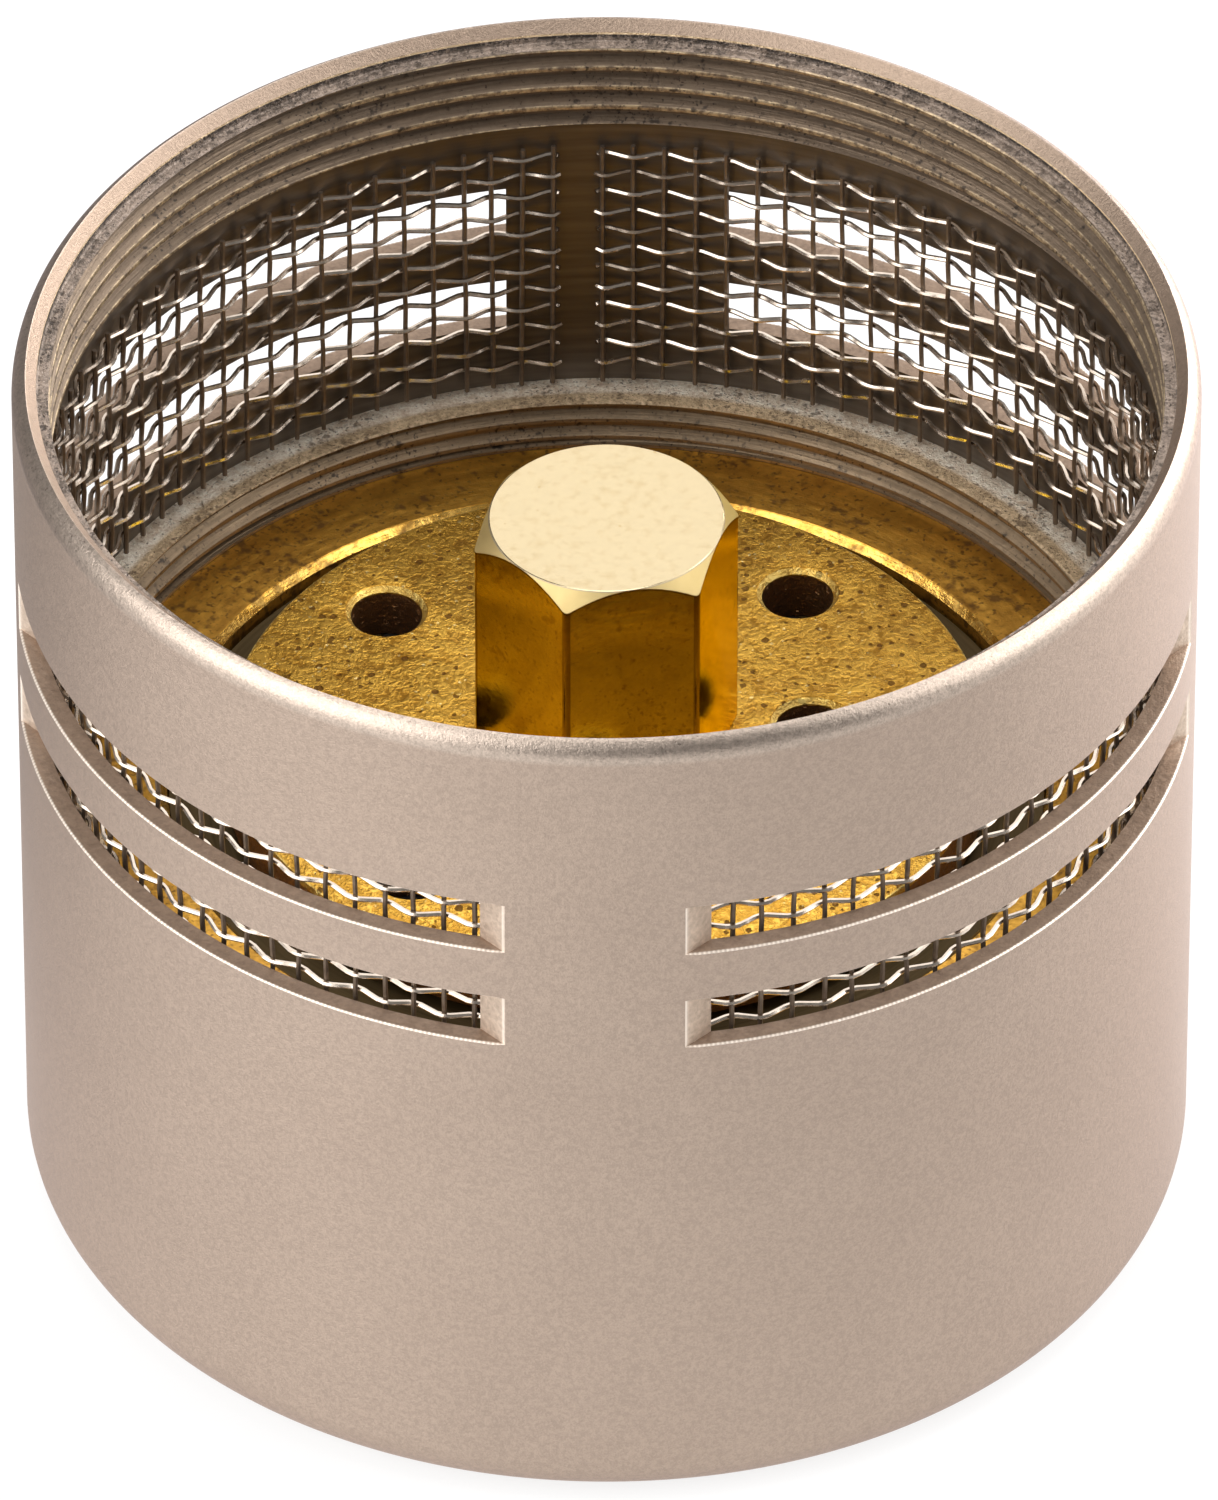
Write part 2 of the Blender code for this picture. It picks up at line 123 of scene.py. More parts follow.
# -------- woven screens
WIRE = 0.11 * MM
ROUND_CRIMP = 0.092 * MM  # of the wires that run round, either way from the weave's middle
UPRIGHT_CRIMP = 0.016 * MM
UPRIGHT_WIRES = 111
ROUND_WIRES = 12
ROUND_WIRE_PITCH = 0.493 * MM
LOWEST_ROUND_WIRE = 11.08 * MM
SEAM_AT = math.radians(94.0)
SEAM_ANGLE = math.radians(3.2)
SEAM_MARGIN = math.radians(0.9)  # from the seam to the first upright wire
WIRE_TAIL = math.radians(0.75)  # how far a round wire runs on past its last upright
CRIMP_SHARES = (0.22, 0.5, 0.78)  # points of a round wire between two uprights
ROW_PLAY = 0.012 * MM  # either way, and so are the next three
ROUND_PLAY = 0.01 * MM
UPRIGHT_PLAY = 0.22  # degrees
UPRIGHT_LEAN = 0.12  # degrees
UPRIGHT_END_PLAY = 0.1  # millimetres, shorter only
FRONT_WIRE_PITCH = 0.52 * MM
FRONT_CRIMP = 0.052 * MM

# -------- cartridge, disc and post
BODY_FACE_BEVEL = 0.16 * MM
BODY_FACE_WIDTH = 1.7 * MM
BODY_RECESS_WALL = 1.05 * MM
BODY_FLANGE_LOW = 7.55 * MM
BODY_FLANGE_TOP = 8.15 * MM
BODY_FLANGE_REACH = 0.6 * MM
MOAT_FLOOR = 8.9 * MM
INSULATOR_STEP = 0.45 * MM  # how far the disc stands out past the insulator's seat
INSULATOR_SEAT_WIDTH = 1.2 * MM
DISC_EDGE = 0.1 * MM
DISC_HOLE_RADIUS = 0.74 * MM
DISC_HOLE_SINK = 0.12 * MM
DISC_HOLES = 8
DISC_HOLE_RINGS = (4.2 * MM, 6.0 * MM)
DISC_HOLE_ANGLE = math.radians(5.1)
STUD_HOLE = 1.05 * MM
STUD_HOLE_DEPTH = 3 * MM
POST_FLATS = 4.78 * MM
POST_CORNER_CHAMFER = 0.42 * MM
POST_TOP_RADIUS = 2.39 * MM
POST_ANGLE = math.radians(-16.4)
POST_EDGE = 0.09 * MM
POST_END_BREAK = 0.02 * MM
CONE_STEPS = 144

body_opening = body_radius - BODY_FACE_WIDTH


# ======== modelling helpers
def deselect():
    if bpy.context.object and bpy.context.object.mode != "OBJECT":
        bpy.ops.object.mode_set(mode="OBJECT")
    bpy.ops.object.select_all(action="DESELECT")


def make_active(piece):
    deselect()
    piece.select_set(True)
    bpy.context.view_layer.objects.active = piece


def name_piece(piece, name):
    piece.name = name
    piece.data.name = name


def set_in_place(piece):
    """Leaves the object at the origin, unturned and unscaled, with its place in its mesh."""
    make_active(piece)
    bpy.ops.object.transform_apply(location=True, rotation=True, scale=True)
    return piece


def weld(piece):
    make_active(piece)
    bpy.ops.object.mode_set(mode="EDIT")
    bpy.ops.mesh.select_all(action="SELECT")
    bpy.ops.mesh.remove_doubles(threshold=WELD)
    bpy.ops.mesh.normals_make_consistent(inside=False)
    bpy.ops.object.mode_set(mode="OBJECT")
    return piece


def smooth(piece, angle=30):
    make_active(piece)
    bpy.ops.object.shade_smooth_by_angle(angle=math.radians(angle))
    return piece


def arc(centre_r, centre_z, radius, start, end, steps):
    """(radius, height) points of an arc, with angles in degrees from the outward direction."""
    angles = [math.radians(start + (end - start) * step / steps) for step in range(steps + 1)]
    return [(centre_r + radius * math.cos(angle), centre_z + radius * math.sin(angle))
            for angle in angles]


def turned(name, profile, steps=TURN_STEPS, closed=True, welded=True):
    """Extrudes a corner along a profile of (radius, height) points, then spins it round Z."""
    corners = [Vector((radius, 0.0, height)) for radius, height in profile]
    if closed:
        corners.append(corners[0])
    deselect()
    bpy.ops.mesh.primitive_plane_add(size=MM, location=corners[0])
    piece = bpy.context.object
    name_piece(piece, name)
    bpy.ops.object.mode_set(mode="EDIT")
    bpy.ops.mesh.merge(type="CENTER")
    for here, there in zip(corners, corners[1:]):
        bpy.ops.mesh.extrude_region_move(TRANSFORM_OT_translate={"value": there - here})
    bpy.ops.mesh.select_all(action="SELECT")
    bpy.ops.mesh.spin(steps=steps, angle=math.tau, center=(0, 0, 0), axis=(0, 0, 1),
                      use_auto_merge=False)
    bpy.ops.object.mode_set(mode="OBJECT")
    set_in_place(piece)
    return weld(piece) if welded else piece


def cut_away(piece, cutter):
    """Takes the cutter's shape out of the piece and removes the cutter."""
    make_active(piece)
    cut = piece.modifiers.new("Cut", "BOOLEAN")
    cut.operation = "DIFFERENCE"
    cut.solver = "EXACT"
    cut.object = cutter
    bpy.ops.object.modifier_apply(modifier=cut.name)
    bpy.data.objects.remove(cutter)
    return piece


def break_edges(piece, on_edge, width, segments=1):
    """Bevels the edges that pass the test on_edge(edge)."""
    make_active(piece)
    bpy.ops.object.mode_set(mode="EDIT")
    bpy.ops.mesh.select_mode(type="EDGE")
    bpy.ops.mesh.select_all(action="DESELECT")
    cage = bmesh.from_edit_mesh(piece.data)
    for edge in cage.edges:
        if on_edge(edge):
            edge.select = True
    bmesh.update_edit_mesh(piece.data)
    bpy.ops.mesh.bevel(offset=width, segments=segments, affect="EDGES")
    bpy.ops.mesh.select_mode(type="VERT")
    bpy.ops.object.mode_set(mode="OBJECT")


def is_corner(edge):
    return len(edge.link_faces) == 2 and edge.calc_face_angle() > math.radians(40)


def is_upright(edge):
    low, high = sorted(corner.co.z for corner in edge.verts)
    return high - low > MM


# ======== housing
def rows_of_thread(low, high, pitch):
    return POINTS_PER_TURN * (math.ceil((high - low) / pitch) + 2)


def bore_rows(radius, low, high, pitch):
    """A plain stretch of bore with enough rows for every turn of the thread cut in it."""
    count = rows_of_thread(low, high, pitch)
    return [(radius, low + (high - low) * row / count) for row in range(count + 1)]


def thread_radius(share, crest, root):
    """Radius of a thread at that share of its pitch above a crest's upper edge."""
    outline = THREAD_OUTLINE + ((1.0, 0.0),)
    for (low, shallow), (high, deep) in zip(outline, outline[1:]):
        if low <= share <= high:
            depth = shallow + (deep - shallow) * (share - low) / (high - low)
            return crest + (root - crest) * depth
    return crest


def column_of(corner):
    """Which step of the spin a corner belongs to."""
    return round(math.atan2(corner.co.y, corner.co.x) / math.tau * TURN_STEPS) % TURN_STEPS


def last_column(piece):
    """Corners that the spin's last step left loose on its first."""
    corners = piece.data.vertices
    found = set()
    for edge in piece.data.edges:
        first, second = (corners[index] for index in edge.vertices)
        for here, there in ((first, second), (second, first)):
            if column_of(here) == 0 and column_of(there) == TURN_STEPS - 1:
                found.add(here.index)
    return found


def cut_thread(piece, crest, root, low, high, thread):
    """Moves the rows of a plain bore onto the corners of a right-handed thread in it.

    The spin's last column goes one pitch further up than its first, so that the turns join when
    the two are welded.
    """
    pitch, phase = thread
    count = rows_of_thread(low, high, pitch)
    first_turn = math.floor((low - phase) / pitch) - 1
    closing = last_column(piece)
    for corner in piece.data.vertices:
        radius = corner.co.xy.length
        if abs(radius - crest) > WELD * 4 or not low - WELD < corner.co.z < high + WELD:
            continue
        row = round((corner.co.z - low) * count / (high - low))
        column = TURN_STEPS if corner.index in closing else column_of(corner)
        start = phase + pitch * column / TURN_STEPS
        turn, point = divmod(row, POINTS_PER_TURN)
        height = start + (first_turn + turn + THREAD_OUTLINE[point][0]) * pitch
        height = low if row == 0 else high if row == count else min(max(height, low), high)
        reach = thread_radius(((height - start) / pitch) % 1.0, crest, root)
        corner.co.x *= reach / radius
        corner.co.y *= reach / radius
        corner.co.z = height


def housing_profile():
    """Down the outside from the rim's sharp edge, under the front lip and up the inside."""
    rim_angle = math.degrees(math.acos(1 - RIM_SETBACK / REAR_EDGE_RADIUS))
    rear_centre = housing_top - REAR_EDGE_RADIUS * math.sin(math.radians(rim_angle))
    front_centre = housing_radius - FRONT_EDGE_RADIUS
    lip_centre = LIP_RADIUS + LIP_EDGE_RADIUS
    return [
        *arc(housing_radius - REAR_EDGE_RADIUS, rear_centre, REAR_EDGE_RADIUS, rim_angle, 0, 8),
        (housing_radius, rear_centre - HOLDING_ROW),
        (housing_radius, FRONT_EDGE_RADIUS + HOLDING_ROW),
        *arc(front_centre, FRONT_EDGE_RADIUS, FRONT_EDGE_RADIUS, 0, -90, 12),
        (front_centre - HOLDING_ROW, 0.0),
        (lip_centre + HOLDING_ROW, 0.0),
        *arc(lip_centre, LIP_EDGE_RADIUS, LIP_EDGE_RADIUS, -90, -180, 6),
        (LIP_RADIUS, lip_top),
        (bore_radius, lip_top),
        (bore_radius, stop_ring),
        (bore_radius - STOP_RING_REACH, stop_ring),
        (bore_radius - STOP_RING_REACH, stop_ring + STOP_RING_HEIGHT),
        (bore_radius, stop_ring + STOP_RING_HEIGHT),
        *bore_rows(bore_radius, BODY_THREAD_LOW, ledge - EDGE_BREAK, BODY_THREAD[0]),
        (bore_radius + 2 * EDGE_BREAK, ledge),
        (pocket_radius, ledge),
        (pocket_radius, pocket_top),
        *bore_rows(REAR_THREAD_CREST, pocket_top, thread_high, REAR_THREAD[0]),
        (REAR_THREAD_CREST + EDGE_BREAK, relief_floor),
        (RELIEF_RADIUS - EDGE_BREAK, relief_floor),
        (RELIEF_RADIUS, relief_floor + EDGE_BREAK),
        (RELIEF_RADIUS, relief_top),
    ]


def slot_cutters():
    """Eight long boxes, one for each saw-cut slot."""
    cutters = []
    reach = housing_radius
    distance = SLOT_PLANE + reach / 2
    for level in SLOT_LEVELS:
        for turn in range(SLOTS_PER_ROW):
            angle = math.tau * (turn + 0.5) / SLOTS_PER_ROW
            deselect()
            bpy.ops.mesh.primitive_cube_add(
                size=1.0, rotation=(0, 0, angle), scale=(reach, 2.4 * reach, SLOT_HEIGHT),
                location=(distance * math.cos(angle), distance * math.sin(angle), level))
            cutters.append(set_in_place(bpy.context.object))
    return cutters


def by_slots(height):
    """True at the heights of both rows of slots and between them."""
    return SLOT_LEVELS[0] - SLOT_HEIGHT < height < SLOT_LEVELS[1] + SLOT_HEIGHT


def on_slot_edge(edge):
    """True for a sharp edge where a slot breaks through the outside of the wall."""
    return is_corner(edge) and all(
        by_slots(corner.co.z) and corner.co.xy.length > housing_radius - SLOT_EDGE
        for corner in edge.verts)


def make_housing():
    piece = turned("housing_shell", housing_profile(), welded=False)
    cut_thread(piece, REAR_THREAD_CREST, REAR_THREAD_ROOT, pocket_top, thread_high, REAR_THREAD)
    cut_thread(piece, bore_radius, BODY_THREAD_ROOT, BODY_THREAD_LOW, ledge - EDGE_BREAK,
               BODY_THREAD)
    weld(piece)
    for cutter in slot_cutters():
        cut_away(piece, cutter)
    break_edges(piece, on_slot_edge, SLOT_EDGE)
    return smooth(piece)


def housing_finish(middle, normal):
    """Number of the finish that a face of the housing gets, by its place and the way it faces."""
    blasted, turned_bright, pocket_painted_shade, pitted, sawn, sawn_floor = range(6)
    facing = 0.9  # share of a direction past which a face counts as turned that way
    radius = middle.xy.length
    outward = normal.xy.dot(middle.xy.normalized())
    in_slots = by_slots(middle.z)
    if middle.z > relief_top - WELD or middle.z < lip_top - WELD or outward > facing:
        return blasted
    if radius > housing_radius - SLOT_EDGE:
        return sawn if in_slots else blasted
    if middle.z > relief_floor - WELD:
        return pitted
    if abs(middle.z - ledge) < EDGE_BREAK and radius < pocket_radius:
        return pitted
    # the pocket wall behind the screen gets the darker nickel: painted shade
    on_pocket_wall = abs(radius - pocket_radius) < NEAR and outward < -facing
    if ledge < middle.z < pocket_top and on_pocket_wall:
        return pocket_painted_shade
    # the slots' upper and lower faces get the darker copy of the sawn finish: painted shade
    if in_slots and abs(normal.z) > facing:
        return sawn_floor
    if in_slots and radius > pocket_radius - SEAT_GAP:
        return sawn
    return turned_bright


def paint_housing(piece):
    # the third finish is a darker nickel for the pocket wall: painted shade
    for finish in (satin_nickel(), turned_nickel(), pocket_nickel_painted_shade(), pitted_nickel(),
                   sawn_nickel("sawn_nickel", (0.44, 0.345, 0.27), (0.76, 0.61, 0.49)),
                   # a darker copy of the sawn finish, for the slots' upper and lower faces: painted
                   # shade
                   sawn_nickel("saw_cut_painted_shade", (0.25, 0.175, 0.125), (0.41, 0.295, 0.215))):
        piece.data.materials.append(finish)
    for face in piece.data.polygons:
        face.material_index = housing_finish(face.center, face.normal)
    return piece


# ======== woven screens
def wire_mesh(name, runs, finishes):
    """One mesh of round wires with closed ends. Each run is its points and its finish's number."""
    line = bpy.data.curves.new(name, "CURVE")
    line.dimensions = "3D"
    line.bevel_depth = WIRE / 2
    line.bevel_resolution = 1
    line.use_fill_caps = True
    for finish in finishes:
        line.materials.append(finish)
    for points, finish_number in runs:
        wire = line.splines.new("POLY")
        wire.material_index = finish_number
        wire.points.add(len(points) - 1)
        for spot, place in zip(wire.points, points):
            spot.co = (*place, 1.0)
    guide = bpy.data.objects.new(name, line)
    bpy.context.scene.collection.objects.link(guide)
    make_active(guide)
    bpy.ops.object.convert(target="MESH")
    piece = bpy.context.object
    piece.name = name
    return smooth(weld(piece), 50)


def make_side_screen(finishes):
    """Plain weave bent round in the pocket: the round wires carry nearly all of the crimp."""
    middle = pocket_radius - FIT_GAP - ROUND_CRIMP - WIRE / 2
    start = SEAM_AT + SEAM_ANGLE / 2 + SEAM_MARGIN
    sweep = math.tau - SEAM_ANGLE - 2 * SEAM_MARGIN
    angles = [start + sweep * wire / (UPRIGHT_WIRES - 1)
              + math.radians(random.uniform(-UPRIGHT_PLAY, UPRIGHT_PLAY))
              for wire in range(UPRIGHT_WIRES)]
    levels = [LOWEST_ROUND_WIRE + ROUND_WIRE_PITCH * row + random.uniform(-1, 1) * ROW_PLAY
              for row in range(ROUND_WIRES)]

    def spot(angle, height, push=0.0):
        radius = middle + push
        return Vector((radius * math.cos(angle), radius * math.sin(angle), height))

    runs = []
    for row, level in enumerate(levels):
        points = [spot(angles[0] - WIRE_TAIL * random.uniform(0.8, 1.1), level)]
        for wire, angle in enumerate(angles):
            crimp = ROUND_CRIMP if (row + wire) % 2 else -ROUND_CRIMP
            wander = random.uniform(-1, 1) * ROUND_PLAY
            points.append(spot(angle, level + wander, crimp))
            if wire + 1 < len(angles):
                gap = angles[wire + 1] - angle
                points += [spot(angle + gap * share, level + wander * (1 - share),
                                crimp * math.cos(math.pi * share)) for share in CRIMP_SHARES]
        points.append(spot(angles[-1] + WIRE_TAIL * random.uniform(0.8, 1.1), level))
        runs.append((points, 0))
    for wire, angle in enumerate(angles):
        lean = math.radians(random.uniform(-UPRIGHT_LEAN, UPRIGHT_LEAN))
        low = screen_low.z + WIRE / 2 + random.uniform(0, UPRIGHT_END_PLAY) * MM
        points = [spot(angle - lean, low)]
        for row, level in enumerate(levels):
            crimp = -UPRIGHT_CRIMP if (row + wire) % 2 else UPRIGHT_CRIMP
            turn = angle + lean * (2 * row / (ROUND_WIRES - 1) - 1)
            points.append(spot(turn, level, crimp))
            if row + 1 < len(levels):
                points.append(spot(turn, (level + levels[row + 1]) / 2))
        high = screen_high.z - WIRE / 2 - random.uniform(0, UPRIGHT_END_PLAY) * MM
        points.append(spot(angle + lean, high))
        # upright wires take the second, darker wire finish: painted shade
        runs.append((points, 1))
    return wire_mesh("side_weave", runs, finishes)


def make_front_screen(finishes):
    """The same cloth of wire laid flat and cut round."""
    middle = (front_screen_low + front_screen_high) / 2
    radius = body_radius - WIRE
    half = math.floor(radius / FRONT_WIRE_PITCH)
    runs = []
    for across in (0, 1):
        for wire in range(-half, half + 1):
            offset = wire * FRONT_WIRE_PITCH
            reach = math.sqrt(radius ** 2 - offset ** 2)
            if reach < FRONT_WIRE_PITCH:
                continue
            last = math.floor(2 * reach / FRONT_WIRE_PITCH)
            points = []
            for step in range(-last, last + 1):
                along = step * FRONT_WIRE_PITCH / 2
                lift = FRONT_CRIMP * math.cos(math.pi * (step / 2 + wire + across))
                spot = (along, offset) if across == 0 else (offset, along)
                points.append(Vector((*spot, middle + lift)))
            runs.append((points, 0))
    return wire_mesh("front_weave", runs, finishes)


# ======== cartridge
def make_body():
    """The brass cartridge's shell, seen as the ring round the rear disc."""
    recess = body_radius - BODY_RECESS_WALL
    flange = body_opening - BODY_FLANGE_REACH
    return smooth(turned("cartridge_body", [
        (body_radius - EDGE_BREAK, body_top),
        (body_radius, body_top - EDGE_BREAK),
        (body_radius, body_low),
        (recess, body_low),
        (recess, BODY_FLANGE_LOW),
        (flange, BODY_FLANGE_LOW),
        (flange, BODY_FLANGE_TOP),
        (body_opening, BODY_FLANGE_TOP),
        (body_opening, body_top - BODY_FACE_BEVEL),
        (body_opening + BODY_FACE_BEVEL, body_top),
    ]))


def make_insulator():
    """The dark ring that carries the rear disc, seen as the floor of the moat round it."""
    step = disc_radius - INSULATOR_STEP
    bore = disc_radius - INSULATOR_SEAT_WIDTH
    return smooth(turned("moat_insulator", [
        (step, insulator_seat),
        (step, MOAT_FLOOR),
        (insulator_radius, MOAT_FLOOR),
        (insulator_radius, insulator_low),
        (bore, insulator_low),
        (bore, insulator_seat),
    ]))


def hole_cutter(x, y):
    """A drilled hole with its countersink."""
    high = disc_top + DISC_HOLE_SINK
    low = disc_low - DISC_HOLE_SINK
    cutter = turned("hole_cutter", [
        (0.0, high),
        (DISC_HOLE_RADIUS + 2 * DISC_HOLE_SINK, high),
        (DISC_HOLE_RADIUS, disc_top - DISC_HOLE_SINK),
        (DISC_HOLE_RADIUS, low),
        (0.0, low),
    ], HOLE_STEPS, closed=False)
    cutter.location = (x, y, 0.0)
    return set_in_place(cutter)


def make_disc():
    """The brass disc with eight holes, four near the post and four further out."""
    round_off = 0.3 * DISC_EDGE  # how far the middle of a round edge lies in from its corner
    plate = turned("rear_plate", [
        (disc_radius - DISC_EDGE, disc_top),
        (disc_radius - round_off, disc_top - round_off),
        (disc_radius, disc_top - DISC_EDGE),
        (disc_radius, disc_low),
        (STUD_HOLE, disc_low),
        (STUD_HOLE, disc_top),
    ])
    for index in range(DISC_HOLES):
        circle = DISC_HOLE_RINGS[index % 2]
        angle = DISC_HOLE_ANGLE + math.tau * index / DISC_HOLES
        cut_away(plate, hole_cutter(circle * math.cos(angle), circle * math.sin(angle)))
    return smooth(plate)


def make_post():
    """A hexagon bar with its end turned to a cone, its edges just broken and its foot drilled."""
    corner = POST_FLATS / math.sqrt(3)
    deselect()
    bpy.ops.mesh.primitive_cylinder_add(vertices=6, radius=corner, depth=post_top - post_low,
                                        location=(0, 0, (post_low + post_top) / 2),
                                        rotation=(0, 0, POST_ANGLE))
    post = set_in_place(bpy.context.object)
    name_piece(post, "hexagon_post")
    break_edges(post, is_upright, POST_EDGE, 3)
    slope = (corner - POST_TOP_RADIUS) / POST_CORNER_CHAMFER
    foot = POST_TOP_RADIUS + 2 * POST_CORNER_CHAMFER * slope
    outer = 2 * corner
    cone = turned("cone_cutter", [
        (POST_TOP_RADIUS - POST_END_BREAK, post_top + POST_EDGE),
        (POST_TOP_RADIUS - POST_END_BREAK, post_top),
        (POST_TOP_RADIUS, post_top - POST_END_BREAK / 2),
        (foot, post_top - 2 * POST_CORNER_CHAMFER),
        (outer, post_top - 2 * POST_CORNER_CHAMFER),
        (outer, post_top + POST_EDGE),
    ], CONE_STEPS)
    cut_away(post, cone)
    drill = turned("stud_cutter", [
        (0.0, post_low + STUD_HOLE_DEPTH),
        (STUD_HOLE, post_low + STUD_HOLE_DEPTH),
        (STUD_HOLE, post_low - MM),
        (0.0, post_low - MM),
    ], HOLE_STEPS, closed=False)
    return smooth(cut_away(post, drill), 20)


# ======== finishes
PER_MM = 1000.0  # object coordinates are metres, patterns are set out in millimetres


class Pattern:
    """A node tree being built, with a short word for each kind of step."""

    def __init__(self, tree):
        self.tree = tree

    def fill(self, socket, value):
        """Links the value to the socket, or writes it there; a colour gets its alpha."""
        if isinstance(value, bpy.types.NodeSocket):
            self.tree.links.new(value, socket)
        else:
            socket.default_value = (*value, 1.0) if socket.type == "RGBA" else value

    def add(self, kind, settings=None, **inputs):
        """Adds a node, sets its properties, and fills its inputs by name, or by number as i0."""
        made = self.tree.nodes.new("ShaderNode" + kind)
        for key, value in (settings or {}).items():
            setattr(made, key, value)
        for key, value in inputs.items():
            numbered = key[0] == "i" and key[1:].isdigit()
            self.fill(made.inputs[int(key[1:]) if numbered else key.replace("_", " ")], value)
        return made

    def maths(self, operation, first, second=0.0, third=0.0, clamp=False):
        made = self.add("Math", {"operation": operation, "use_clamp": clamp},
                        i0=first, i1=second, i2=third)
        return made.outputs[0]

    def times(self, first, second):
        return self.maths("MULTIPLY", first, second)

    def scaled(self, value, gain, start, clamp=False):
        """start where the value is 0, and gain more where it is 1."""
        return self.maths("MULTIPLY_ADD", value, gain, start, clamp)

    def both(self, first, first_share, second, second_share):
        return self.maths("MULTIPLY_ADD", first, first_share, self.times(second, second_share))

    def step(self, value, low, high):
        """0 below low, 1 above high, smooth between them; low above high turns it round."""
        falls = low > high
        made = self.add("MapRange", {"interpolation_type": "SMOOTHSTEP"}, Value=value,
                        From_Min=min(low, high), From_Max=max(low, high),
                        To_Min=float(falls), To_Max=float(not falls))
        return made.outputs["Result"]

    def blend(self, share, first, second):
        """The first colour where the share is 0, the second where it is 1."""
        made = self.add("Mix", {"data_type": "RGBA"}, i0=share, i6=first, i7=second)
        return made.outputs[2]

    def layered(self, colour, *layers):
        """Lays colours over a colour one after the other, each by its share."""
        for share, over in layers:
            colour = self.blend(share, colour, over)
        return colour

    def noise(self, spot, scale, detail=2.0, roughness=0.5, output="Fac"):
        made = self.add("TexNoise", Vector=spot, Scale=scale, Detail=detail, Roughness=roughness)
        return made.outputs[output]

    def place(self):
        """Where on the object, in millimetres: its vector, radius, angle round the axis, height."""
        spot = self.add("TexCoord").outputs["Object"]
        spot = self.add("VectorMath", {"operation": "SCALE"}, i0=spot, Scale=PER_MM).outputs[0]
        x, y, z = self.add("SeparateXYZ", i0=spot).outputs
        squares = self.maths("ADD", self.times(x, x), self.times(y, y))
        return spot, self.maths("SQRT", squares), self.maths("ARCTAN2", y, x), z


class Finish(Pattern):
    """A finish being built round its own shader."""

    def __init__(self, name, roughness=0.4, metallic=1.0):
        self.material = bpy.data.materials.new(name)
        self.material.use_nodes = True
        super().__init__(self.material.node_tree)
        self.shader = self.tree.nodes["Principled BSDF"]
        self.feed(Roughness=roughness, Metallic=metallic)

    def feed(self, **inputs):
        """Fills or links the shader's own sockets."""
        for key, value in inputs.items():
            self.fill(self.shader.inputs[key.replace("_", " ")], value)

    def effect(self, group, **inputs):
        return self.add("Group", {"node_tree": group}, **inputs).outputs

    def bump(self, height, depth, strength):
        """Relief from a height of 0 to 1, its depth in millimetres."""
        made = self.add("Bump", Height=height, Strength=strength, Distance=depth * MM)
        self.feed(Normal=made.outputs["Normal"])


def new_effect(name, outputs, **inputs):
    """A node group that puts out numbers: its pattern, its inputs and its outputs."""
    group = bpy.data.node_groups.new(name, "ShaderNodeTree")
    for label, value in inputs.items():
        socket = group.interface.new_socket(label.replace("_", " "), in_out="INPUT",
                                            socket_type="NodeSocketFloat")
        socket.default_value = value
    for label in outputs:
        group.interface.new_socket(label, in_out="OUTPUT", socket_type="NodeSocketFloat")
    given = group.nodes.new("NodeGroupInput").outputs
    out = group.nodes.new("NodeGroupOutput").inputs
    return Pattern(group), given, out


def make_grain():
    """Fine grain in two sizes, as blasting leaves it, and slow clouds."""
    group, given, out = new_effect("fine_grain", ("Grain", "Hard", "Clouds"),
                                   Per_mm=8.0, Roughness=0.6)
    spot = group.place()[0]
    fine = group.noise(spot, given["Per mm"], 3.0, given["Roughness"])
    coarse = group.noise(spot, group.times(given["Per mm"], 0.4))
    grains = group.both(coarse, 0.35, fine, 0.65)
    group.fill(out["Grain"], group.scaled(grains, 2.2, -0.6, clamp=True))
    group.fill(out["Hard"], group.scaled(grains, 6.0, -2.5, clamp=True))
    group.fill(out["Clouds"], group.noise(spot, 0.35))
    return group.tree


def make_tarnish():
    """Dark spots scattered in patches, with a paler stain round them: tarnish, pits and grime."""
    group, given, out = new_effect("tarnish_spots", ("Spots", "Stain"),
                                   Per_mm=3.0, Amount=0.5, Patches=0.4)
    spot = group.place()[0]
    patches = group.scaled(group.noise(spot, given["Patches"], 3.0), 0.3, -0.15)
    limit = group.scaled(given["Amount"], -0.3, 0.78)

    def past_limit(noise):
        return group.maths("SUBTRACT", group.maths("ADD", noise, patches), limit)

    small = past_limit(group.noise(spot, given["Per mm"], 2.5))
    tiny = past_limit(group.noise(spot, group.times(given["Per mm"], 2.7), 1.0))
    most = group.maths("MAXIMUM", small, group.maths("ADD", tiny, -0.02))
    group.fill(out["Spots"], group.maths("MULTIPLY", most, 9.0, clamp=True))
    group.fill(out["Stain"], group.scaled(small, 4.0, 0.45, clamp=True))
    return group.tree


def make_turning():
    """Marks of the lathe tool: streaks round the axis, on walls, faces and slopes."""
    group, given, out = new_effect("turning_marks", ("Marks",), Per_mm=12.0, Run=2.0)
    _, radius, angle, height = group.place()
    along = group.times(group.maths("SINE", angle), given["Run"])
    beside = group.times(group.maths("COSINE", angle), given["Run"])
    streaks = []
    for way in ("ADD", "SUBTRACT"):
        across = group.times(group.maths(way, radius, height), given["Per mm"])
        spot = group.add("CombineXYZ", X=across, Y=along, Z=beside).outputs[0]
        streaks.append(group.noise(spot, 1.0, 3.0))
    group.fill(out["Marks"], group.scaled(group.maths("ADD", *streaks), 1.1, -0.6, clamp=True))
    return group.tree


